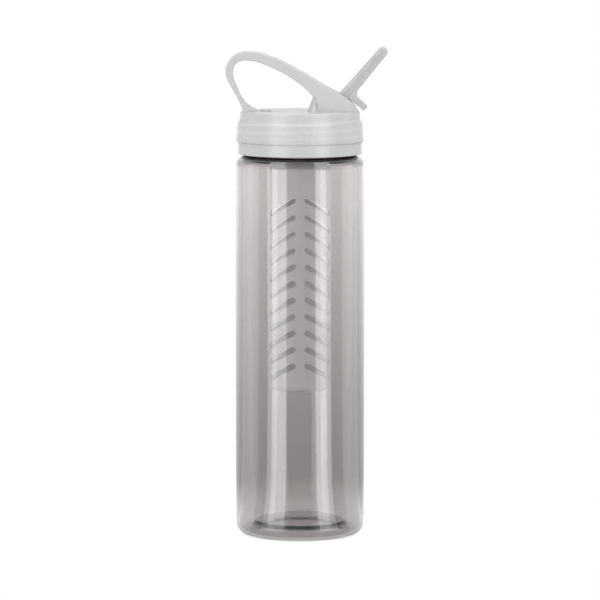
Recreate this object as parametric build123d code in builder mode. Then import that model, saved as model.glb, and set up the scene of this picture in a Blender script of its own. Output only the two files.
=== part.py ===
from build123d import *
from math import cos, degrees, radians, sin, sqrt, tan
import os

# Fruit infuser water bottle, standing on its base. Millimetres, +Z up.
# The origin is the centre of the circle that the bottle stands on.
# +X points to the side that the spout leans to, and -Y is the front.

# Running and moulding allowances
cut_over = 1.0                 # how far a cut runs past the face it opens
bond = 0.4                     # how far a thread or rib is rooted in its wall
thread_gap = 0.5               # radial room between a thread's crest and the opposite wall
flank_gap = 0.15               # axial room between two engaged thread flanks
pivot_gap = 0.06               # radial room of the spout's stubs in their bores
valve_gap = 0.05               # room round the vent valve, which is pulled in soft
side_gap = 0.4                 # room beside the spout between the cheeks
sweep_gap = 0.6                # room round the spout while it swings
seal_gap = 0.25                # room between the turning drum and its seal
seat_gap = 0.3                 # room between parts that only come near each other
pass_gap = 0.2                 # room of the infuser's seal as it slips over the boss's thread

# Bottle body
shoulder_w = 6.5               # how far the shoulder steps in from the body to the neck
body_wall = 1.8
floor_t = 2.2
base_corner_r = 6.4
stand_ring_w = 2.4             # width of the flat ring that touches the table
punt_slope_w = 2.8             # how far the push-up leans in over its steep part
punt_slope_h = 5.4
punt_crown_h = 2.8             # further rise to the middle of the base
shoulder_z = 213.4
shoulder_round = 6.2
neck_r = 29.5
neck_wall = 2.2
rim_z = 234.8
rim_round = 0.6

# Screw thread between neck and lid
neck_pitch = 4.2
neck_thread_h = 2.0            # radial height
neck_thread_root_w = 1.9
neck_thread_crest_w = 1.1
neck_thread_turns = 2.0
neck_thread_low = 224.8        # height of the thread's lower end
parting_gap = 3.6              # break in the thread at the mould's parting line
lid_thread_root_w = 1.5
lid_thread_crest_w = 0.9
lid_thread_turns = 1.5

# Lid shell
lid_wall = 1.2
plate_t = 1.9
gasket_t = 1.2
gasket_lip = 0.7               # how far the gasket stays back from the bore
lid_flare = 0.6                # the tier under the plate widens by this
tier_low_z = 232.4             # where the tier ends on the grip ring
ring_low_z = 220.4
ring_out = 2.4                 # how far the grip ring stands out of the top tier
ring_slope = 0.7               # draft of the grip ring
ring_round = 1.1
skirt_out = 1.35               # how far the skirt stands out of the top tier
skirt_low_z = 214.0
top_round = 1.1

# Boss under the plate, which holds the infuser
boss_r = 14.6
boss_edge_round = 0.65
boss_wall = 2.0
boss_low_z = 195.5
boss_pitch = 4.2
boss_thread_h = 0.9
boss_thread_root_w = 1.7
boss_thread_crest_w = 0.9
boss_thread_turns = 2.0
boss_thread_low = 196.8
flange_t = 1.6
flange_in = 0.12               # how far the flange stays back from the infuser's outside
basket_seal_t = 1.2

# Infuser basket
basket_play = 0.4              # radial room between the boss's thread and the infuser's bore
basket_wall = 1.25
basket_draft = 0.3             # the foot is narrower than the rim by this, in radius
basket_rim_round = 0.3
basket_floor_t = 1.6
basket_foot_round = 2.2
basket_rim_z = 207.0
basket_low_z = 82.0
basket_thread_root_w = 1.4
basket_thread_crest_w = 0.8
basket_thread_turns = 1.25
slot_rows = 11
slot_pitch = 9.25
slot_w = 3.0
slot_slant_angle = 27.3        # degrees below level, away from the spine
slot_facing_angle = 24.5       # azimuth from the spine to the way the slots are cut, in degrees
slot_from_angle = 9.0          # azimuth from the spine to the slot's inner end
slot_to_angle = 78.0
slot_top_z = 189.7             # height of the first slot's inner end

# Carry handle and spout housing, as shares of the lid's top radius and the handle's rise
grip_rise = 33.4
grip_w = 20.0
grip_narrowing = 5.0           # the handle's far end is narrower than its near end by this
grip_waist_share = -0.25       # where it begins to narrow
grip_inset = 0.3               # how far the housing stays back from the tier's edge
outer_shares = [(-0.955, 0.0), (-0.978, 0.075), (-1.135, 0.38), (-1.248, 0.671), (-1.145, 0.901),
                (-0.858, 1.0), (-0.542, 0.932), (0.033, 0.659), (0.678, 0.29)]
inner_shares = [(0.211, 0.261), (-0.117, 0.545), (-0.491, 0.743), (-0.828, 0.847), (-1.06, 0.808),
                (-1.127, 0.62), (-1.047, 0.38), (-0.989, 0.249), (-0.913, 0.143), (-0.762, 0.04),
                (-0.68, 0.0)]
cheek_via_shares = (0.886, 0.135)
cheek_end_shares = (1.006, -0.039)
near_edge_via_shares = (0.283, 0.171)
near_edge_end_share = 0.298
nose_share = 0.112             # where the housing's rounded back wall stands
nose_round = 5.6
nose_lean_angle = 22.0         # degrees that the back wall leans in

# Spout
pivot_shares = (0.633, 0.1137)
spout_rise_angle = 49.6        # degrees above level when open
flip_angle = 94.5              # degrees from open to closed
spout_reach = 41.0             # pivot to tip
spout_w = 9.4
spout_upper = 3.45             # centre line to upper face at the root
spout_lower = 3.75
spout_taper = 1.0              # each face draws in by this towards the tip
tip_round = 2.2
spout_edge_round = 2.2
drum_r = 5.2
stub_r = 2.0
stub_len = 2.6
drink_bore_r = 1.9
tab_from = 6.4                 # along the spout to the tab's lower face
tab_t = 4.1
tab_end_t = 3.4
tab_out = 13.4
tab_round = 0.8
tab_fillet = 1.4

# Seal under the spout and vent valve
seal_r = 4.2
seal_t = 1.5
seal_lip = 1.7                 # how far the seal's saddle comes up round the drum
well_wall = 1.3
port_r = 2.2
vent_play = 0.7                # between the boss and the valve's foot
vent_stem_r = 1.3
vent_cap_r = 3.0
vent_cap_t = 0.9
vent_foot_r = 3.6
vent_foot_t = 0.8
vent_slit_r = 0.5

# Worked out from the values above
body_r = neck_r + shoulder_w
neck_bore_r = neck_r - neck_wall
neck_crest_r = neck_r + neck_thread_h
lid_bore_r = neck_crest_r + thread_gap
lid_crest_r = neck_r + thread_gap
lid_top_r = lid_bore_r + lid_wall
plate_low_z = rim_z + gasket_t
plate_z = plate_low_z + plate_t
boss_bore_r = boss_r - boss_wall
boss_crest_r = boss_r + boss_thread_h
basket_bore_r = boss_crest_r + basket_play
basket_r = basket_bore_r + basket_wall
basket_foot_r = basket_r - basket_draft
basket_crest_r = boss_r + (basket_bore_r - boss_crest_r)
flange_low_z = basket_rim_z + basket_seal_t
pivot_x = pivot_shares[0] * lid_top_r
pivot_z = plate_z + pivot_shares[1] * grip_rise
well_floor_z = pivot_z - drum_r - seal_t
slot_half = spout_w / 2 + side_gap


def grip_point(shares):
    """A point of the handle's side view, from its shares."""
    return (shares[0] * lid_top_r, plate_z + shares[1] * grip_rise)


def ridge_run(wall_r, crest_r, pitch, angle, root_w, crest_w):
    """One unbroken run of a right-hand screw ridge, from +X through an angle in degrees."""
    into = bond if crest_r < wall_r else -bond
    rise = crest_r - wall_r
    with BuildPart() as run:
        with BuildLine() as path:
            Helix(pitch, pitch * angle / 360, wall_r)
        with BuildSketch(Plane(origin=path.line @ 0, x_dir=(1, 0, 0), z_dir=path.line % 0)):
            with BuildLine():
                Polyline((into, -root_w / 2), (0, -root_w / 2), (rise, -crest_w / 2),
                         (rise, crest_w / 2), (0, root_w / 2), (into, root_w / 2), close=True)
            make_face()
        sweep(path=path.line, is_frenet=True)
    return run.part


def thread_ridge(wall_r, crest_r, pitch, turns, low_z, root_w, crest_w):
    """A screw ridge on a wall, broken at the mould's parting line, front and back."""
    half_break = degrees(parting_gap / 2 / wall_r)
    breaks = [90 + 180 * count for count in range(int(2 * turns))]
    starts = [0] + [angle + half_break for angle in breaks]
    ends = [angle - half_break for angle in breaks] + [360 * turns]
    with BuildPart() as ridge:
        for start, end in zip(starts, ends):
            run = ridge_run(wall_r, crest_r, pitch, end - start, root_w, crest_w)
            add(run.rotate(Axis.Z, start).translate((0, 0, low_z + pitch * start / 360)))
    return ridge.part


def engaged_offset(outer_root_w, outer_crest_w, inner_root_w, inner_crest_w):
    """Height from a fixed ridge's middle down to the ridge that bears up against it."""
    fixed_w = (outer_root_w + outer_crest_w) / 2
    moving_w = (inner_root_w + inner_crest_w) / 2
    return (fixed_w + moving_w) / 2 + flank_gap


def trace(corners):
    """A closed outline in the open BuildLine, from rows of (across, up, corner round)."""
    points = [(across, up) for across, up, rounding in corners]
    FilletPolyline(*points, radius=[rounding for across, up, rounding in corners], close=True)


# Threads, made first because two pieces are fitted to each
neck_ridge = thread_ridge(neck_r, neck_crest_r, neck_pitch, neck_thread_turns, neck_thread_low,
                          neck_thread_root_w, neck_thread_crest_w)
lid_ridge_low = neck_thread_low - engaged_offset(neck_thread_root_w, neck_thread_crest_w,
                                                 lid_thread_root_w, lid_thread_crest_w)
lid_ridge = thread_ridge(lid_bore_r, lid_crest_r, neck_pitch, lid_thread_turns, lid_ridge_low,
                         lid_thread_root_w, lid_thread_crest_w)
boss_ridge = thread_ridge(boss_r, boss_crest_r, boss_pitch, boss_thread_turns, boss_thread_low,
                          boss_thread_root_w, boss_thread_crest_w)
basket_rise = engaged_offset(boss_thread_root_w, boss_thread_crest_w,
                             basket_thread_root_w, basket_thread_crest_w)
basket_ridge = thread_ridge(basket_bore_r, basket_crest_r, boss_pitch, basket_thread_turns,
                            boss_thread_low + basket_rise, basket_thread_root_w,
                            basket_thread_crest_w)

# Bottle body: straight wall, rounded base with a push-up, shoulder and threaded neck
shoulder_turn = min(shoulder_round, body_r - neck_r)
body_in_r = body_r - body_wall
stand_out_r = body_r - base_corner_r
stand_in_r = stand_out_r - stand_ring_w
punt_r = stand_in_r - punt_slope_w
punt_z = punt_slope_h + punt_crown_h
inner_turn = base_corner_r - body_wall
with BuildPart() as bottle_body:
    with BuildSketch(Plane.XZ):
        with BuildLine():
            Line((0, punt_z + floor_t), (0, punt_z))
            crown = TangentArc((0, punt_z), (punt_r, punt_slope_h), tangent=(1, 0))
            Line(crown @ 1, (stand_in_r, 0))
            Line((stand_in_r, 0), (stand_out_r, 0))
            RadiusArc((stand_out_r, 0), (body_r, base_corner_r), -base_corner_r)
            Line((body_r, base_corner_r), (body_r, shoulder_z - shoulder_turn))
            RadiusArc((body_r, shoulder_z - shoulder_turn), (body_r - shoulder_turn, shoulder_z),
                      -shoulder_turn)
            FilletPolyline((body_r - shoulder_turn, shoulder_z), (neck_r, shoulder_z),
                           (neck_r, rim_z), (neck_bore_r, rim_z),
                           (neck_bore_r, shoulder_z - body_wall),
                           (body_r - shoulder_turn, shoulder_z - body_wall),
                           radius=[0, rim_round, rim_round, 0])
            RadiusArc((body_r - shoulder_turn, shoulder_z - body_wall),
                      (body_in_r, shoulder_z - shoulder_turn), shoulder_turn - body_wall)
            Line((body_in_r, shoulder_z - shoulder_turn), (body_in_r, base_corner_r))
            RadiusArc((body_in_r, base_corner_r), (stand_out_r, body_wall), inner_turn)
            Line((stand_out_r, body_wall), (stand_in_r + floor_t / 2, body_wall))
            Line((stand_in_r + floor_t / 2, body_wall), (punt_r + floor_t / 2, punt_slope_h + floor_t))
            TangentArc((0, punt_z + floor_t), (punt_r + floor_t / 2, punt_slope_h + floor_t),
                       tangent=(1, 0))
        make_face()
    revolve(axis=Axis.Z)
    add(neck_ridge)

# Lid: threaded shell with its grip ring, the plate and the long boss under it
ring_top_r = lid_top_r + ring_out - ring_slope
ring_low_r = lid_top_r + ring_out
skirt_r = lid_top_r + skirt_out
tier_low_r = lid_top_r + lid_flare
flange_r = basket_r - flange_in
tier_corners = [
    (0, plate_z, 0), (lid_top_r, plate_z, top_round), (tier_low_r, tier_low_z, 0),
    (ring_top_r, tier_low_z - ring_round / 2, ring_round),
    (ring_low_r, ring_low_z + ring_slope, ring_round), (skirt_r, ring_low_z, 0),
    (skirt_r, skirt_low_z, lid_wall / 2), (0, skirt_low_z, 0)]
boss_corners = [
    (boss_r, plate_low_z + bond, 0), (boss_r, flange_low_z + flange_t, 0),
    (flange_r, flange_low_z + flange_t, 0), (flange_r, flange_low_z, 0), (boss_r, flange_low_z, 0),
    (boss_r, boss_low_z, boss_edge_round), (boss_bore_r, boss_low_z, boss_edge_round),
    (boss_bore_r, plate_low_z + bond, 0)]

# Handle and cheeks of the spout's housing, one flat band seen from the side
outer = [grip_point(shares) for shares in outer_shares]
inner = [grip_point(shares) for shares in inner_shares]
cheek_end = grip_point(cheek_end_shares)
root_z = plate_z - plate_t / 2
near_foot = (near_edge_end_share * lid_top_r, root_z)
trim_r = tier_low_r - grip_inset
trim_x = sqrt(trim_r ** 2 - (grip_w / 2) ** 2)
waist_x = grip_waist_share * lid_top_r
grip_root_w = grip_w - grip_narrowing
reach_x = -2 * lid_top_r
with BuildPart() as grip:
    with BuildSketch(Plane.XZ):
        with BuildLine():
            Spline(*outer)
            ThreePointArc(outer[-1], grip_point(cheek_via_shares), cheek_end)
            Polyline(cheek_end, (cheek_end[0], tier_low_z), (near_foot[0], tier_low_z), near_foot)
            ThreePointArc(near_foot, grip_point(near_edge_via_shares), inner[0])
            Spline(*inner)
            Polyline(inner[-1], (inner[-1][0], root_z), (outer[0][0], root_z), outer[0])
        make_face()
    extrude(amount=grip_w / 2, both=True)
    with BuildSketch():
        with BuildLine():
            Polyline((trim_x, -grip_w / 2), (waist_x, -grip_w / 2), (-lid_top_r, -grip_root_w / 2),
                     (reach_x, -grip_root_w / 2), (reach_x, grip_root_w / 2),
                     (-lid_top_r, grip_root_w / 2), (waist_x, grip_w / 2), (trim_x, grip_w / 2))
            ThreePointArc((trim_x, grip_w / 2), (trim_r, 0), (trim_x, -grip_w / 2))
        make_face()
    extrude(amount=plate_z + 2 * grip_rise, mode=Mode.INTERSECT)

# Back wall of the housing, rounded in plan and leaning in
nose_x = nose_share * lid_top_r
nose_h = inner[0][1] - root_z
nose_lean = nose_h * tan(radians(nose_lean_angle))
with BuildPart() as nose:
    for height, lean in ((0, 0), (nose_h, nose_lean)):
        with BuildSketch(Plane.XY.offset(root_z + height)):
            with Locations((nose_x + nose_round + bond, 0)):
                RectangleRounded(2 * (nose_round + bond - lean), grip_w - bond - 2 * lean,
                                 nose_round - lean)
    loft()

# Space that the spout swings in, from open to closed, seen from the side
pivot = (pivot_x, pivot_z)
drum_room = drum_r + sweep_gap / 2
open_way = (cos(radians(spout_rise_angle)), sin(radians(spout_rise_angle)))
closed_angle = spout_rise_angle + flip_angle
closed_way = (cos(radians(closed_angle)), sin(radians(closed_angle)))
swing_reach = spout_reach + sweep_gap


def beside(way, along, aside):
    """A point seen from the side: along a direction from the pivot, then to its left."""
    return (pivot[0] + along * way[0] - aside * way[1], pivot[1] + along * way[1] + aside * way[0])


with BuildPart() as swing:
    with BuildSketch(Plane.XZ):
        with Locations(pivot):
            Circle(drum_room)
        with BuildLine():
            Polyline(pivot, beside(open_way, 0, -spout_lower - sweep_gap),
                     beside(open_way, swing_reach, -spout_lower - sweep_gap),
                     (pivot_x, pivot_z + 2 * spout_reach),
                     beside(closed_way, swing_reach, spout_upper + sweep_gap),
                     beside(closed_way, 0, spout_upper + sweep_gap), close=True)
        make_face()
    extrude(amount=slot_half, both=True)

# Well under the drum: a trough that holds the seal over the drinking port
well_low_z = well_floor_z - well_wall
with BuildPart() as well:
    with BuildSketch(Plane.XZ):
        with Locations(pivot):
            Circle(drum_room + well_wall)
    extrude(amount=slot_half + well_wall, both=True)
    with BuildSketch(Plane.XY.offset(well_low_z)):
        with Locations((pivot_x, 0)):
            Circle(seal_r + well_wall)
    extrude(amount=plate_z - well_low_z)
    with BuildSketch(Plane.XY.offset(well_low_z)):
        Circle(neck_bore_r - 2 * seat_gap)
    extrude(amount=plate_z - well_low_z - top_round, mode=Mode.INTERSECT)

vent_x = -(boss_r + vent_play + vent_foot_r)
vent_low_z = plate_low_z - valve_gap
vent_top_z = plate_z + valve_gap
with BuildPart() as lid:
    with BuildSketch(Plane.XZ):
        with BuildLine():
            trace(tier_corners)
        make_face()
    revolve(axis=Axis.Z)
    add(grip.part)
    add(nose.part)
    with BuildSketch(Plane.XY.offset(skirt_low_z)):
        Circle(lid_bore_r)
    extrude(amount=plate_low_z - skirt_low_z, mode=Mode.SUBTRACT)
    with BuildSketch(Plane.XZ):
        with BuildLine():
            trace(boss_corners)
        make_face()
    revolve(axis=Axis.Z)
    add(well.part)
    add(swing.part, mode=Mode.SUBTRACT)
    with BuildSketch(Plane.XY.offset(well_floor_z)):
        with Locations((pivot_x, 0)):
            Circle(seal_r)
    extrude(amount=pivot_z - well_floor_z, mode=Mode.SUBTRACT)
    with BuildSketch(Plane.XY.offset(well_low_z - cut_over)):
        with Locations((pivot_x, 0)):
            Circle(port_r)
    extrude(amount=well_wall + 2 * cut_over, mode=Mode.SUBTRACT)
    with BuildSketch(Plane.XZ):
        with Locations(pivot):
            Circle(stub_r + pivot_gap)
    extrude(amount=spout_w / 2 + stub_len + seat_gap, both=True, mode=Mode.SUBTRACT)
    with BuildSketch(Plane.XY.offset(plate_low_z - cut_over)):
        with Locations((vent_x, 0)):
            Circle(vent_stem_r + valve_gap)
    extrude(amount=plate_t + 2 * cut_over, mode=Mode.SUBTRACT)
    add(lid_ridge)
    add(boss_ridge)

# Flat seal between the bottle's rim and the lid's plate
with BuildPart() as lid_gasket:
    with BuildSketch(Plane.XY.offset(rim_z)):
        Circle(lid_bore_r - seat_gap)
        Circle(neck_bore_r + gasket_lip, mode=Mode.SUBTRACT)
    extrude(amount=gasket_t)

# Drinking spout: drum with two stubs, tapered mouthpiece and thumb tab
pivot_point = (pivot_x, 0, pivot_z)
spout_plane = Plane(origin=pivot_point, x_dir=(open_way[0], 0, open_way[1]), z_dir=(0, -1, 0))
spout_way = Plane(origin=pivot_point, z_dir=(open_way[0], 0, open_way[1]))
with BuildPart() as mouthpiece:
    with BuildSketch(spout_plane):
        with BuildLine():
            trace([(0, -spout_lower, 0), (spout_reach, spout_taper - spout_lower, tip_round),
                   (spout_reach, spout_upper - spout_taper, tip_round), (0, spout_upper, 0)])
        make_face()
    extrude(amount=spout_w / 2, both=True)
    long_edges = mouthpiece.edges().filter_by(lambda edge: edge.length > spout_reach / 2)
    fillet(long_edges, spout_edge_round)
with BuildPart() as thumb_tab:
    with BuildSketch(spout_plane):
        with BuildLine():
            trace([(tab_from, -spout_lower / 2, 0),
                   (tab_from + (tab_t - tab_end_t) / 2, -tab_out, tab_round),
                   (tab_from + (tab_t + tab_end_t) / 2, -tab_out, tab_round),
                   (tab_from + tab_t, -spout_lower - tab_fillet, tab_fillet),
                   (tab_from + tab_t + 2 * tab_fillet, -spout_lower + spout_taper / 2, 0),
                   (tab_from + tab_t + tab_fillet, -spout_lower / 2, 0)])
        make_face()
    extrude(amount=spout_w / 2, both=True)
with BuildPart() as spout:
    add(mouthpiece.part)
    with BuildSketch(spout_plane):
        Circle(drum_r)
    extrude(amount=spout_w / 2, both=True)
    with BuildSketch(spout_plane):
        Circle(stub_r)
    extrude(amount=spout_w / 2 + stub_len, both=True)
    add(thumb_tab.part)
    with BuildSketch(spout_way):
        Circle(drink_bore_r)
    extrude(amount=spout_reach + cut_over, mode=Mode.SUBTRACT)
    with BuildSketch(Plane.XY.offset(pivot_z)):
        with Locations((pivot_x, 0)):
            Circle(drink_bore_r)
    extrude(amount=-drum_r - cut_over, mode=Mode.SUBTRACT)

# Saddle seal that the drum turns on
with BuildPart() as spout_seal:
    with BuildSketch(Plane.XY.offset(well_floor_z)):
        with Locations((pivot_x, 0)):
            Circle(seal_r)
            Circle(port_r, mode=Mode.SUBTRACT)
    extrude(amount=seal_t + seal_lip)
    with BuildSketch(Plane.XZ):
        with Locations(pivot):
            Circle(drum_r + seal_gap)
    extrude(amount=2 * seal_r, both=True, mode=Mode.SUBTRACT)

# Vent valve: a button on the plate, a stem through it and a flap under it
valve_plane = Plane(origin=(vent_x, 0, 0), x_dir=(1, 0, 0), z_dir=(0, -1, 0))
with BuildPart() as vent_valve:
    with BuildSketch(valve_plane):
        with BuildLine():
            trace([(vent_slit_r, vent_low_z - vent_foot_t, 0),
                   (vent_foot_r, vent_low_z - vent_foot_t, 0), (vent_foot_r, vent_low_z, 0),
                   (vent_stem_r, vent_low_z, 0), (vent_stem_r, vent_top_z, 0),
                   (vent_cap_r, vent_top_z, 0),
                   (vent_cap_r, vent_top_z + vent_cap_t, vent_cap_t / 2),
                   (vent_slit_r, vent_top_z + vent_cap_t, 0)])
        make_face()
    revolve(axis=Axis((vent_x, 0, 0), (0, 0, 1)))

# Infuser: tube with a closed foot, a threaded collar and slots slanting down from two spines
with BuildPart() as infuser_basket:
    with BuildSketch(Plane.XZ):
        with BuildLine():
            trace([(0, basket_low_z, 0), (basket_foot_r, basket_low_z, basket_foot_round),
                   (basket_r, basket_rim_z, basket_rim_round),
                   (basket_bore_r, basket_rim_z, basket_rim_round),
                   (basket_foot_r - basket_wall, basket_low_z + basket_floor_t,
                    basket_foot_round - basket_wall),
                   (0, basket_low_z + basket_floor_t, 0)])
        make_face()
    revolve(axis=Axis.Z)
    slot_from = basket_r * sin(radians(slot_from_angle - slot_facing_angle))
    slot_to = basket_r * sin(radians(slot_to_angle - slot_facing_angle))
    slot_mid = (slot_from + slot_to) / 2
    slot_drop = (slot_to - slot_from) * tan(radians(slot_slant_angle)) / 2
    for side in (-1, 1):
        for spine in (-90, 90):
            turn = radians(spine + side * slot_facing_angle)
            facing = Plane(origin=(0, 0, slot_top_z - slot_drop), x_dir=(-sin(turn), cos(turn), 0),
                           z_dir=(cos(turn), sin(turn), 0))
            with BuildSketch(facing):
                for row in range(slot_rows):
                    with Locations((side * slot_mid, -row * slot_pitch)):
                        SlotOverall((slot_to - slot_from) / cos(radians(slot_slant_angle)), slot_w,
                                    rotation=-side * slot_slant_angle)
            extrude(amount=basket_r + cut_over, mode=Mode.SUBTRACT)
    add(basket_ridge)

# Flat seal between the infuser's rim and the flange on the lid's boss
with BuildPart() as basket_seal:
    with BuildSketch(Plane.XY.offset(basket_rim_z)):
        Circle(flange_r)
        Circle(boss_crest_r + pass_gap, mode=Mode.SUBTRACT)
    extrude(amount=basket_seal_t)

os.makedirs("parts", exist_ok=True)
pieces = {"bottle_body": bottle_body, "lid": lid, "lid_gasket": lid_gasket, "spout": spout,
          "spout_seal": spout_seal, "vent_valve": vent_valve, "infuser_basket": infuser_basket,
          "basket_seal": basket_seal}
for name, piece in pieces.items():
    piece.part.label = name
    export_step(piece.part, f"parts/{name}.step")
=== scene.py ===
"""Looks of a fruit infuser water bottle: smoke-tinted clear body, frosted lid and infuser, clear spout."""
from math import cos, pi, radians, sin, tan

import bmesh
import bpy
from mathutils import Matrix, Vector


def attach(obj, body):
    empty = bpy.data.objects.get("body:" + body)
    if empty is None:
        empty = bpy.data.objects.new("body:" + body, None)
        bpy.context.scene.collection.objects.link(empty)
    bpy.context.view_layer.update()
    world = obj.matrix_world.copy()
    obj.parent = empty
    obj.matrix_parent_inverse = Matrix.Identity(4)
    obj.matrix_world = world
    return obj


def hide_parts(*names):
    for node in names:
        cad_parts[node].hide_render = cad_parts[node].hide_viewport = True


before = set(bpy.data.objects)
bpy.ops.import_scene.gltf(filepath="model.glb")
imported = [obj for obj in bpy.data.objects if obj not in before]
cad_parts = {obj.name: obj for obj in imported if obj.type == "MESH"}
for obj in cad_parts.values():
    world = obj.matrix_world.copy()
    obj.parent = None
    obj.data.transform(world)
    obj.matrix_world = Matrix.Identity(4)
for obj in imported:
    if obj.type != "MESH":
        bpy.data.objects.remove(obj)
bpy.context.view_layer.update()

MM = 0.001

# Neck thread: its start above the base and its rise in one turn, in millimetres, and its turns
THREAD_LOW, THREAD_PITCH, THREAD_TURNS = 224.8, 4.2, 2

# Fineness of turned pieces, and how near two corners are when they count as one
TURN_STEPS = 192
CORNER_STEPS = 6
MELD = 0.002 * MM


# Materials

def srgb(text):
    """A linear colour from an sRGB hex value."""
    values = [int(text[i:i + 2], 16) / 255 for i in (1, 3, 5)]
    return tuple(v / 12.92 if v <= 0.04045 else ((v + 0.055) / 1.055) ** 2.4 for v in values) + (1.0,)


def add_node(tree, kind, settings=(), links=()):
    """Adds a node. settings set its inputs, by name or number, or its properties; links feed its inputs."""
    node = tree.nodes.new(kind)
    for key, value in dict(settings).items():
        if isinstance(key, int) or key in node.inputs:
            node.inputs[key].default_value = value
        else:
            setattr(node, key, value)
    for key, output in dict(links).items():
        tree.links.new(output, node.inputs[key])
    return node


def new_material(name):
    """An empty node material with its Principled shader and Object coordinates."""
    material = bpy.data.materials.new(name)
    material.use_nodes = True
    tree = material.node_tree
    tree.nodes.clear()
    shader = add_node(tree, "ShaderNodeBsdfPrincipled")
    add_node(tree, "ShaderNodeOutputMaterial", links={"Surface": shader.outputs["BSDF"]})
    coordinates = add_node(tree, "ShaderNodeTexCoord").outputs["Object"]
    return material, tree, shader, coordinates


def show_instead(tree, surface):
    """Feeds another surface into the material's output."""
    output = next(node for node in tree.nodes if node.type == "OUTPUT_MATERIAL")
    tree.links.new(surface, output.inputs["Surface"])


def mixed(tree, share, first, second):
    """The first shader where share is 0 and the second where it is 1."""
    return add_node(tree, "ShaderNodeMixShader", links={0: share, 1: first, 2: second}).outputs["Shader"]


def added(tree, first, second):
    """Two shaders, one on top of the other."""
    return add_node(tree, "ShaderNodeAddShader", links={0: first, 1: second}).outputs["Shader"]


def cloudy_roughness(tree, shader, place, cloud_size, detail, smoothest, roughest):
    """Roughness that drifts between two values over patches of cloud_size."""
    cloud = add_node(tree, "ShaderNodeTexNoise", {"Scale": 1 / cloud_size, "Detail": detail},
                     {"Vector": place})
    rough = add_node(tree, "ShaderNodeMapRange", {"To Min": smoothest, "To Max": roughest},
                     {"Value": cloud.outputs["Fac"]})
    tree.links.new(rough.outputs["Result"], shader.inputs["Roughness"])


def let_lamps_through(tree, shader, tint):
    """The plastic casts only a tinted shadow: shadow rays pass straight through it."""
    passing = add_node(tree, "ShaderNodeBsdfTransparent", {"Color": srgb(tint)})
    rays = add_node(tree, "ShaderNodeLightPath")
    show_instead(tree, mixed(tree, rays.outputs["Is Shadow Ray"], shader.outputs["BSDF"],
                             passing.outputs["BSDF"]))


def clear_copolyester():
    """Blow-moulded copolyester: glassy, faintly smoke-tinted, with a slow swell in its surface."""
    material, tree, shader, place = new_material("copolyester_smoke_clear")
    shader.inputs["Base Color"].default_value = srgb("#D1CECD")
    shader.inputs["Transmission Weight"].default_value = 1.0
    shader.inputs["IOR"].default_value = 1.57
    swell_size, swell_height = 14 * MM, 0.2 * MM
    swell = add_node(tree, "ShaderNodeTexNoise", {"Scale": 1 / swell_size, "Detail": 1.0}, {"Vector": place})
    bump = add_node(tree, "ShaderNodeBump", {"Strength": 0.04, "Distance": swell_height},
                    {"Height": swell.outputs["Fac"]})
    tree.links.new(bump.outputs["Normal"], shader.inputs["Normal"])
    handling_size = 5 * MM
    cloudy_roughness(tree, shader, place, handling_size, 3.0, 0.01, 0.035)
    let_lamps_through(tree, shader, "#F4F2F1")
    return material


def clear_spout_plastic():
    """Injection-moulded copolyester: thin polished walls, partly seen through, layer over layer."""
    material, tree, shader, place = new_material("copolyester_spout_clear")
    shader.inputs["Base Color"].default_value = srgb("#CED0D0")
    shader.inputs["Alpha"].default_value = 0.7
    shader.inputs["IOR"].default_value = 1.52
    mould_size = 3 * MM
    cloudy_roughness(tree, shader, place, mould_size, 2.0, 0.06, 0.12)
    return material


def paint_thread_highlight(tree, shader, place, colour, thread_highlight_colour):
    """Painted highlight: the neck thread's crests, as they would show through a milky wall, painted into the
    base colour as pale sloping bands, a pitch apart.
    """
    spot = add_node(tree, "ShaderNodeSeparateXYZ", links={"Vector": place})
    turn = add_node(tree, "ShaderNodeMath", {"operation": "ARCTAN2"},
                    {0: spot.outputs["Y"], 1: spot.outputs["X"]})
    wound = add_node(tree, "ShaderNodeMath", {"operation": "MULTIPLY_ADD", 1: -1.0,
                                              2: -2 * pi * THREAD_LOW / THREAD_PITCH},
                     {0: turn.outputs["Value"]})
    climb = add_node(tree, "ShaderNodeMath", {"operation": "MULTIPLY_ADD", 1: 2 * pi / (THREAD_PITCH * MM)},
                     {0: spot.outputs["Z"], 2: wound.outputs["Value"]})
    ridge = add_node(tree, "ShaderNodeMath", {"operation": "COSINE"}, {0: climb.outputs["Value"]})
    reach = THREAD_PITCH * THREAD_TURNS / 2 * MM
    middle = THREAD_LOW * MM + reach
    fade = 2 * MM
    from_middle = add_node(tree, "ShaderNodeMath", {"operation": "SUBTRACT", 1: middle},
                           {0: spot.outputs["Z"]})
    apart = add_node(tree, "ShaderNodeMath", {"operation": "ABSOLUTE"}, {0: from_middle.outputs["Value"]})
    band = add_node(tree, "ShaderNodeMapRange",
                    {"From Min": reach, "From Max": reach + fade, "To Min": 1.0, "To Max": 0.0,
                     "interpolation_type": "SMOOTHSTEP"}, {"Value": apart.outputs["Value"]})
    crest_highlight = add_node(tree, "ShaderNodeMapRange", {"From Min": -0.4, "From Max": 1.0, "To Min": 0.0},
                     {"Value": ridge.outputs["Value"], "To Max": band.outputs["Result"]})
    # Painted highlight: the base colour turns paler over the thread's crests behind the skirt
    mix = add_node(tree, "ShaderNodeMixRGB", {"Color1": srgb(colour), "Color2": srgb(thread_highlight_colour)},
                   {"Fac": crest_highlight.outputs["Result"]})
    tree.links.new(mix.outputs["Color"], shader.inputs["Base Color"])


def frosted_polypropylene(name, colour, transmission, smoothest, roughest):
    """Natural polypropylene, injection moulded: milky, with a satin sheen that drifts a little."""
    material, tree, shader, place = new_material(name)
    shader.inputs["Base Color"].default_value = srgb(colour)
    shader.inputs["Transmission Weight"].default_value = transmission
    shader.inputs["IOR"].default_value = 1.49
    cloud_size = 9 * MM
    cloudy_roughness(tree, shader, place, cloud_size, 3.0, smoothest, roughest)
    return material, tree, shader, place


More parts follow.
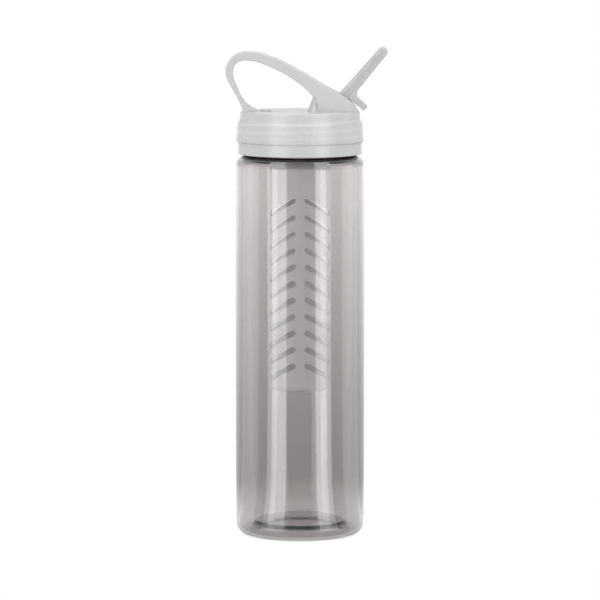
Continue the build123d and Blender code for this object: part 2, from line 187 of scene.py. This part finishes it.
def lid_plastic():
    """The lid's polypropylene is thick and milky; the neck's thread, which would show faintly in its skirt,
    is painted into its colour as pale highlight bands.
    """
    # The lid's own colour, and the paler painted highlight colour of the thread bands
    colour, thread_highlight_colour = "#CCCDCD", "#D4D5D5"
    material, tree, shader, place = frosted_polypropylene("polypropylene_lid", colour, 0.0, 0.24, 0.32)
    paint_thread_highlight(tree, shader, place, colour, thread_highlight_colour)
    return material


def infuser_plastic():
    """The infuser's polypropylene is thinner, so some light passes through it, blurred."""
    material, tree, shader, _ = frosted_polypropylene("polypropylene_infuser", "#F4F4F6", 0.1, 0.3, 0.38)
    let_lamps_through(tree, shader, "#D2D2D2")
    return material


def white_silicone():
    """Compression-moulded silicone: soft and matte."""
    material, tree, shader, place = new_material("silicone_translucent_white")
    shader.inputs["Base Color"].default_value = srgb("#D4D5D5")
    shader.inputs["IOR"].default_value = 1.41
    dust_size = 0.8 * MM
    cloudy_roughness(tree, shader, place, dust_size, 2.0, 0.45, 0.65)
    return material


copolyester = clear_copolyester()
spout_plastic = clear_spout_plastic()
lid_polypropylene = lid_plastic()
infuser_polypropylene = infuser_plastic()
silicone = white_silicone()

# Each CAD node gets its finish on its own slots
for node_name, material in (("bottle_body", copolyester), ("lid", lid_polypropylene),
                            ("infuser_basket", infuser_polypropylene), ("spout", spout_plastic),
                            ("lid_gasket", silicone), ("spout_seal", silicone),
                            ("vent_valve", silicone), ("basket_seal", silicone)):
    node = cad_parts[node_name]
    node.data.materials.clear()
    node.data.materials.append(material)


# Shaping helpers

def finished(form, name, body, material, nodes, crease=38):
    """Turns a bmesh into a smooth-shaded piece that rides on a body and stands for CAD nodes."""
    mesh = bpy.data.meshes.new(name)
    form.to_mesh(mesh)
    form.free()
    mesh.materials.append(material)
    mesh.shade_smooth()
    mesh.set_sharp_from_angle(angle=radians(crease))
    piece = bpy.data.objects.new(name, mesh)
    bpy.context.scene.collection.objects.link(piece)
    weighted = piece.modifiers.new("flat_faces_lead", "WEIGHTED_NORMAL")
    weighted.keep_sharp = True
    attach(piece, body)
    if nodes:
        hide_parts(*nodes)


def turned(corners):
    """A round solid from rows of (radius, height, corner round) in millimetres, axis to axis."""
    form = bmesh.new()
    points = [form.verts.new((across * MM, 0, up * MM)) for across, up, corner in corners]
    for start, end in zip(points, points[1:]):
        form.edges.new((start, end))
    for point, (across, up, corner) in list(zip(points, corners))[1:-1]:
        if corner:
            ways = [(edge.other_vert(point).co - point.co).normalized() for edge in point.link_edges]
            half = (pi - ways[0].angle(ways[1])) / 2
            bmesh.ops.bevel(form, geom=[point], offset=corner * MM * tan(half), offset_type="OFFSET",
                            segments=CORNER_STEPS, profile=0.5, affect="VERTICES", material=-1)
    bmesh.ops.spin(form, geom=form.verts[:] + form.edges[:], cent=(0, 0, 0), axis=(0, 0, 1),
                   angle=2 * pi, steps=TURN_STEPS, use_merge=True, use_duplicate=False)
    bmesh.ops.remove_doubles(form, verts=form.verts[:], dist=MELD)
    bmesh.ops.recalc_face_normals(form, faces=form.faces[:])
    return form


# In degrees: faces turned less than FLAT from each other join, and edges bent more than SHARP are rounded
FLAT, SHARP = 0.6, 38


def softened(node, rounds, steps=3):
    """A merged copy of a CAD mesh, its sharp edges rounded by rows of (lowest, highest, round) in mm."""
    form = bmesh.new()
    form.from_mesh(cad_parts[node].data)
    bmesh.ops.remove_doubles(form, verts=form.verts[:], dist=MELD)
    bmesh.ops.dissolve_limit(form, angle_limit=radians(FLAT), verts=form.verts[:], edges=form.edges[:])
    for lowest, highest, round_mm in rounds:
        sharp = [edge for edge in form.edges
                 if edge.is_manifold and edge.calc_face_angle_signed(0) > radians(SHARP)
                 and all(lowest < end.co.z / MM < highest for end in edge.verts)]
        bmesh.ops.bevel(form, geom=sharp, offset=round_mm * MM, offset_type="OFFSET", segments=steps,
                        profile=0.5, affect="EDGES", clamp_overlap=False, material=-1)
    bmesh.ops.remove_doubles(form, verts=form.verts[:], dist=3 * MELD)
    return form


# Bottle: one blown wall, closed inside and out. Radii, walls, heights and rounds in millimetres

BODY_R, BODY_WALL = 36.0, 1.8
NECK_R, NECK_WALL = 29.5, 2.2
SHOULDER_Z, SHOULDER_ROUND = 213.4, 6.2
NECK_ROOT_ROUND, INNER_ROOT_ROUND = 0.25, 0.8
RIM_Z, RIM_ROUND = 234.8, 0.6
STAND_R, STAND_ROUND, HEEL_ROUND = 27.2, 0.7, 6.4
PUNT_R, PUNT_EDGE_Z, PUNT_Z = 24.4, 5.4, 8.2
PUNT_ROUND, PUNT_EDGE_ROUND = 14, 1.6
FLOOR_T = 2.2
INNER_STAND_R, INNER_STAND_ROUND = STAND_R + 1.3, 0.6
INNER_PUNT_R, INNER_PUNT_ROUND = PUNT_R + 1.1, 2.4

bottle = turned([
    (0, PUNT_Z, 0),
    (PUNT_R / 2, PUNT_Z, PUNT_ROUND),
    (PUNT_R, PUNT_EDGE_Z, PUNT_EDGE_ROUND),
    (STAND_R, 0, STAND_ROUND),
    (BODY_R, 0, HEEL_ROUND),
    (BODY_R, SHOULDER_Z, SHOULDER_ROUND),
    (NECK_R, SHOULDER_Z, NECK_ROOT_ROUND),
    (NECK_R, RIM_Z, RIM_ROUND),
    (NECK_R - NECK_WALL, RIM_Z, RIM_ROUND),
    (NECK_R - NECK_WALL, SHOULDER_Z - BODY_WALL, INNER_ROOT_ROUND),
    (BODY_R - BODY_WALL, SHOULDER_Z - BODY_WALL, SHOULDER_ROUND - BODY_WALL),
    (BODY_R - BODY_WALL, BODY_WALL, HEEL_ROUND - BODY_WALL),
    (INNER_STAND_R, BODY_WALL, INNER_STAND_ROUND),
    (INNER_PUNT_R, PUNT_EDGE_Z + FLOOR_T, INNER_PUNT_ROUND),
    (PUNT_R / 2, PUNT_Z + FLOOR_T, PUNT_ROUND),
    (0, PUNT_Z + FLOOR_T, 0)])
finished(bottle, "bottle_shell", "bottle", copolyester, ["bottle_body"], crease=50)

# Neck thread: a right-hand ridge in runs that break at the mould's parting line

THREAD_H, THREAD_SINK = 2.0, 0.05
THREAD_ROOT_W, THREAD_CREST_W = 1.9, 1.1
THREAD_GAP = 3.6


def thread_runs():
    """The runs' start and end angles: a break on each side of the bottle, in every half turn."""
    half_gap = THREAD_GAP / 2 / NECK_R
    breaks = [pi / 2 + pi * half_turn for half_turn in range(2 * THREAD_TURNS)]
    starts = [0.0] + [angle + half_gap for angle in breaks]
    ends = [angle - half_gap for angle in breaks] + [2 * pi * THREAD_TURNS]
    return zip(starts, ends)


section = ((NECK_R - THREAD_SINK, -THREAD_ROOT_W / 2), (NECK_R + THREAD_H, -THREAD_CREST_W / 2),
           (NECK_R + THREAD_H, THREAD_CREST_W / 2), (NECK_R - THREAD_SINK, THREAD_ROOT_W / 2))
threads = bmesh.new()
for start, end in thread_runs():
    lift = THREAD_LOW + THREAD_PITCH * start / (2 * pi)
    rotate = Matrix.Rotation(start, 3, "Z")
    ring = [threads.verts.new(rotate @ Vector((across * MM, 0, (up + lift) * MM)))
            for across, up in section]
    face = threads.faces.new(ring)
    run_turns = (end - start) / (2 * pi)
    count = round(run_turns * TURN_STEPS / 2)
    rise = THREAD_PITCH * run_turns / count
    bmesh.ops.spin(threads, geom=ring + face.edges[:] + [face], cent=(0, 0, 0), axis=(0, 0, 1),
                   dvec=(0, 0, rise * MM), angle=end - start, steps=count, use_merge=False,
                   use_duplicate=False)
bmesh.ops.holes_fill(threads, edges=[edge for edge in threads.edges if edge.is_boundary])
bmesh.ops.recalc_face_normals(threads, faces=threads.faces[:])
finished(threads, "neck_threads", "bottle", copolyester, [])

# Lid, infuser and spout: the CAD solids with their edges rounded, between heights in millimetres

RING_Z, SPOUT_Z, HANDLE_Z, ABOVE_ALL_Z = 228.9, 236, 244.0, 280.0
INFUSER_RIM_Z = 204
RING_EDGE, HANDLE_EDGE, INFUSER_EDGE, SPOUT_EDGE = 0.2, 0.7, 0.3, 0.4
SOFT_CREASE = 30

lid = softened("lid", ((HANDLE_Z, ABOVE_ALL_Z, HANDLE_EDGE), (RING_Z, HANDLE_Z, RING_EDGE)))
finished(lid, "lid_shell", "lid", lid_polypropylene, ["lid"], crease=SOFT_CREASE)

basket = softened("infuser_basket", ((0, INFUSER_RIM_Z, INFUSER_EDGE),), steps=2)
finished(basket, "infuser", "basket", infuser_polypropylene, ["infuser_basket"], crease=SOFT_CREASE)

spout = softened("spout", ((SPOUT_Z, ABOVE_ALL_Z, SPOUT_EDGE),))
finished(spout, "mouthpiece", "spout", spout_plastic, ["spout"], crease=SOFT_CREASE)


# Camera: where the photograph was taken from

CAMERA_BACK = 1992 * MM
CAMERA_HEIGHT = 350 * MM
CAMERA_DOWN = radians(6.25)
CAMERA_LENS_MM = 214.3
SENSOR_MM = 36.0

camera_data = bpy.data.cameras.new("camera")
camera_data.lens = CAMERA_LENS_MM
camera_data.sensor_width = SENSOR_MM
camera = bpy.data.objects.new("camera", camera_data)
camera.location = (0, -CAMERA_BACK, CAMERA_HEIGHT)
camera.rotation_euler = (pi / 2 - CAMERA_DOWN, 0, 0)
bpy.context.scene.collection.objects.link(camera)
bpy.context.scene.camera = camera


# Lamps: two upright soft panels and one overhead. A glow is a brightness, white being 1

PANEL_AWAY, PANEL_HEIGHT = 1.1, 0.75
# Each panel is brighter across its middle: name, azimuths in degrees from the front, glow
PANELS = (("left_panel_outer", -60, -52, 1.0), ("left_panel_middle", -52, -41, 2.2),
          ("left_panel_inner", -41, -24, 1.4), ("right_panel_inner", 27, 36, 1.6),
          ("right_panel_middle", 36, 47, 2.3), ("right_panel_outer", 47, 56, 1.3))
OVERHEAD_SIZE, OVERHEAD_Z, OVERHEAD_GLOW = 0.8, 1.4, 0.9


def soft_panel(name, from_azimuth, to_azimuth, glow):
    """An upright lamp that stands on the floor between two azimuths from the front, towards +X."""
    turn = radians((from_azimuth + to_azimuth) / 2)
    way = Vector((sin(turn), -cos(turn), 0))
    lamp = bpy.data.lights.new(name, "AREA")
    lamp.shape = "RECTANGLE"
    lamp.size = 2 * PANEL_AWAY * tan(radians(to_azimuth - from_azimuth) / 2)
    lamp.size_y = PANEL_HEIGHT
    lamp.energy = glow * pi * lamp.size * lamp.size_y
    panel = bpy.data.objects.new(name, lamp)
    panel.location = way * PANEL_AWAY + Vector((0, 0, PANEL_HEIGHT / 2))
    panel.rotation_mode = "QUATERNION"
    panel.rotation_quaternion = way.to_track_quat("Z", "Y")
    bpy.context.scene.collection.objects.link(panel)


for panel_row in PANELS:
    soft_panel(*panel_row)

overhead = bpy.data.lights.new("overhead_softbox", "AREA")
overhead.size = OVERHEAD_SIZE
overhead.energy = OVERHEAD_GLOW * pi * overhead.size ** 2
overhead_box = bpy.data.objects.new("overhead_softbox", overhead)
overhead_box.location = (0, 0, OVERHEAD_Z)
bpy.context.scene.collection.objects.link(overhead_box)


def level_ramp(tree, share, levels, constant=False):
    """Grey levels over a share of 0 to 1, from rows of (share, level)."""
    ramp = add_node(tree, "ShaderNodeValToRGB", links={"Fac": share})
    if constant:
        ramp.color_ramp.interpolation = "CONSTANT"
    for _ in levels[2:]:
        ramp.color_ramp.elements.new(1.0)
    for stop, (position, level) in zip(ramp.color_ramp.elements, levels):
        stop.position = position
        stop.color = (level, level, level, 1.0)
    return ramp.outputs["Color"]


def seen_by_gloss_or_glass(tree, path):
    """1 for a ray that a glossy or clear surface sends out, and 0 for one from a matt surface."""
    return add_node(tree, "ShaderNodeMath", {"operation": "MAXIMUM"},
                    {0: path.outputs["Is Glossy Ray"],
                     1: path.outputs["Is Transmission Ray"]}).outputs["Value"]


# World. The room's walls: rows of degrees from the front and brightness, as a share of ROOM_GLOW

ROOM_GLOW = 5.0
LOW_WALLS = ((0, 0.01), (20, 0.01), (24, 0.12), (58, 0.12), (63, 0.03), (78, 0.03), (88, 0.18), (97, 0.24),
             (108, 0.24), (118, 0.15), (150, 0.14), (165, 0.19))
HIGH_WALLS = ((0, 0.005), (24, 0.005), (29, 0.8), (54, 0.8), (60, 0.02), (180, 0.04))
LOW_UP_TO, HIGH_FROM = radians(14), radians(32)
PLAIN_CEILING = (0.04, 0.04, 0.04, 1.0)
MATT_FILL, BACKGROUND_GLOW = 0.86, 1.0


def wall_levels(tree, share, walls):
    """A wall's brightness, where share is 1 straight behind the bottle."""
    return level_ramp(tree, share, [(from_front / 180, level) for from_front, level in walls])


def build_room(world, path):
    """What gloss and glass see: a camera side in the dark, side walls with dark gaps, and tall panels."""
    direction = add_node(world, "ShaderNodeTexCoord").outputs["Generated"]
    split = add_node(world, "ShaderNodeSeparateXYZ", links={"Vector": direction})
    towards = add_node(world, "ShaderNodeMath", {"operation": "MULTIPLY", 1: -1.0},
                       {0: split.outputs["Y"]})
    azimuth = add_node(world, "ShaderNodeMath", {"operation": "ARCTAN2"},
                       {0: split.outputs["X"], 1: towards.outputs["Value"]})
    aside = add_node(world, "ShaderNodeMath", {"operation": "ABSOLUTE"}, {0: azimuth.outputs["Value"]})
    turn_share = add_node(world, "ShaderNodeMath", {"operation": "DIVIDE", 1: pi},
                          {0: aside.outputs["Value"]})
    # Higher up the panels lean over and meet at the back, on circles through the backdrop's middle
    sideways = add_node(world, "ShaderNodeMath", {"operation": "ABSOLUTE"}, {0: split.outputs["X"]})
    forwards = add_node(world, "ShaderNodeMath", {"operation": "ADD", 1: 1.0},
                        {0: towards.outputs["Value"]})
    half_turn = add_node(world, "ShaderNodeMath", {"operation": "ARCTAN2"},
                         {0: sideways.outputs["Value"], 1: forwards.outputs["Value"]})
    lean_share = add_node(world, "ShaderNodeMath", {"operation": "DIVIDE", 1: pi / 2},
                          {0: half_turn.outputs["Value"]})
    low_walls = wall_levels(world, turn_share.outputs["Value"], LOW_WALLS)
    high_walls = wall_levels(world, lean_share.outputs["Value"], HIGH_WALLS)
    # Light that has come through plastic meets a plain ceiling, so that the bottle stays free of specks
    ceiling = add_node(world, "ShaderNodeMixRGB", {"Color2": PLAIN_CEILING},
                       {"Fac": path.outputs["Is Transmission Ray"], "Color1": high_walls})
    height = add_node(world, "ShaderNodeMapRange",
                      {"From Min": sin(LOW_UP_TO), "From Max": sin(HIGH_FROM),
                       "interpolation_type": "SMOOTHSTEP"}, {"Value": split.outputs["Z"]})
    level = add_node(world, "ShaderNodeMixRGB",
                     links={"Fac": height.outputs["Result"], "Color1": low_walls,
                            "Color2": ceiling.outputs["Color"]})
    return add_node(world, "ShaderNodeBackground", {"Strength": ROOM_GLOW},
                    {"Color": level.outputs["Color"]}).outputs["Background"]


def build_world():
    """White behind everything for the camera, an even fill for matt surfaces, and the room for the rest."""
    studio = bpy.data.worlds.new("studio")
    bpy.context.scene.world = studio
    studio.use_nodes = True
    world = studio.node_tree
    world.nodes.clear()
    path = add_node(world, "ShaderNodeLightPath")
    room = build_room(world, path)
    fill = add_node(world, "ShaderNodeBackground", {"Color": srgb("#FFFFFF"), "Strength": MATT_FILL})
    white = add_node(world, "ShaderNodeBackground", {"Color": srgb("#FFFFFF"), "Strength": BACKGROUND_GLOW})
    unseen = mixed(world, seen_by_gloss_or_glass(world, path), fill.outputs["Background"], room)
    surface = mixed(world, path.outputs["Is Camera Ray"], unseen, white.outputs["Background"])
    add_node(world, "ShaderNodeOutputWorld", links={"Surface": surface})


build_world()

# Floor, with distances from the bottle's axis in metres

FLOOR_R, FLOOR_SIDES = 12.0, 96
# What the plastic sees of the floor is a painted glow: brighter close round the base, painted shade about
# 0.2 m out, and brighter again further away. Rows of distance and glow
GLOW_END = 2.4
FLOOR_GLOW = ((0.0, 0.5), (0.1, 0.34), (0.2, 0.03), (0.5, 0.09), (1.0, 0.25), (GLOW_END, 0.56))
# The panels' painted mirror images start clear of the base, and the side walls have fainter painted ones
MIRROR_FROM, MIRROR_FULL = 0.045, 0.1
WALL_IMAGES = ((-125, -80, 0.3), (80, 125, 0.3))
MIRROR_SCALE, PAINTED_MIRROR_GLOW = 4, 5.0
# The camera sees a floor that keeps the shadow near the base, and fades to white further out
FADE_FROM, FADE_TO = 0.04, 0.22
NEAR_GLOW = 0.5


def painted_mirror_levels():
    """Rows of (bearing's share of a turn, level) for the painted mirror images: a panel's glow up to the
    bearing where it ends.
    """
    images = [(from_side, to_side, glow) for _, from_side, to_side, glow in PANELS] + list(WALL_IMAGES)
    levels = {-180: 0.0}
    levels.update((to_side, 0.0) for _, to_side, _ in images)
    levels.update((from_side, glow) for from_side, _, glow in images)
    return [((side + 180) / 360, glow / MIRROR_SCALE) for side, glow in sorted(levels.items())]


def unseen_floor(tree, shader, place, away, path):
    """What lights the object and shows in it: laminate, with a painted soft glow and painted mirror images
    of the lamps, both drawn as emission.
    """
    away_share = add_node(tree, "ShaderNodeMath", {"operation": "DIVIDE", 1: GLOW_END}, {0: away})
    # Painted glow: brighter close round the base, painted shade about 0.2 m out, brighter again further away
    glow = level_ramp(tree, away_share.outputs["Value"],
                      [(distance / GLOW_END, level) for distance, level in FLOOR_GLOW])
    painted_soft_glow = add_node(tree, "ShaderNodeEmission", {"Strength": 1.0}, {"Color": glow})
    across = add_node(tree, "ShaderNodeSeparateXYZ", links={"Vector": place})
    frontwards = add_node(tree, "ShaderNodeMath", {"operation": "MULTIPLY", 1: -1.0},
                          {0: across.outputs["Y"]})
    bearing = add_node(tree, "ShaderNodeMath", {"operation": "ARCTAN2"},
                       {0: across.outputs["X"], 1: frontwards.outputs["Value"]})
    bearing_share = add_node(tree, "ShaderNodeMapRange", {"From Min": -pi, "From Max": pi},
                             {"Value": bearing.outputs["Value"]})
    images = level_ramp(tree, bearing_share.outputs["Result"], painted_mirror_levels(), constant=True)
    clear_of_base = add_node(tree, "ShaderNodeMapRange",
                             {"From Min": MIRROR_FROM, "From Max": MIRROR_FULL, "To Max": PAINTED_MIRROR_GLOW},
                             {"Value": away})
    image_level = add_node(tree, "ShaderNodeMath", {"operation": "MULTIPLY"},
                           {0: seen_by_gloss_or_glass(tree, path), 1: clear_of_base.outputs["Result"]})
    # Painted reflections: the panels and side walls mirrored in the floor, drawn as emission for gloss and
    # glass
    painted_mirrors = add_node(tree, "ShaderNodeEmission",
                        links={"Color": images, "Strength": image_level.outputs["Value"]})
    painted_glows = added(tree, painted_soft_glow.outputs["Emission"], painted_mirrors.outputs["Emission"])
    return added(tree, shader.outputs["BSDF"], painted_glows)


def seen_floor(tree, away):
    """What the camera sees: a matt floor under the bottle, that turns into the white background."""
    matt = add_node(tree, "ShaderNodeBsdfDiffuse", {"Color": srgb("#F0F0F0")})
    lifted = add_node(tree, "ShaderNodeEmission", {"Color": srgb("#FFFFFF"), "Strength": NEAR_GLOW})
    backdrop = add_node(tree, "ShaderNodeEmission", {"Color": srgb("#FFFFFF"), "Strength": BACKGROUND_GLOW})
    fade = add_node(tree, "ShaderNodeMapRange",
                    {"From Min": FADE_FROM, "From Max": FADE_TO, "interpolation_type": "SMOOTHSTEP"},
                    {"Value": away})
    near = added(tree, matt.outputs["BSDF"], lifted.outputs["Emission"])
    return mixed(tree, fade.outputs["Result"], near, backdrop.outputs["Emission"])


def laminate_floor():
    """Pale laminate, a little glossy, with mirror images of the lamps and walls painted on as emission."""
    material, tree, shader, place = new_material("floor_pale_laminate")
    shader.inputs["Base Color"].default_value = srgb("#A0A0A0")
    shader.inputs["Roughness"].default_value = 0.12
    away = add_node(tree, "ShaderNodeVectorMath", {"operation": "LENGTH"}, {0: place}).outputs["Value"]
    path = add_node(tree, "ShaderNodeLightPath")
    unseen = unseen_floor(tree, shader, place, away, path)
    show_instead(tree, mixed(tree, path.outputs["Is Camera Ray"], unseen, seen_floor(tree, away)))
    return material


floor_mesh = bpy.data.meshes.new("floor")
sheet = bmesh.new()
bmesh.ops.create_circle(sheet, cap_ends=True, segments=FLOOR_SIDES, radius=FLOOR_R)
sheet.to_mesh(floor_mesh)
sheet.free()
floor_mesh.materials.append(laminate_floor())
floor = bpy.data.objects.new("floor", floor_mesh)
bpy.context.scene.collection.objects.link(floor)

bpy.context.scene.view_settings.view_transform = "Standard"
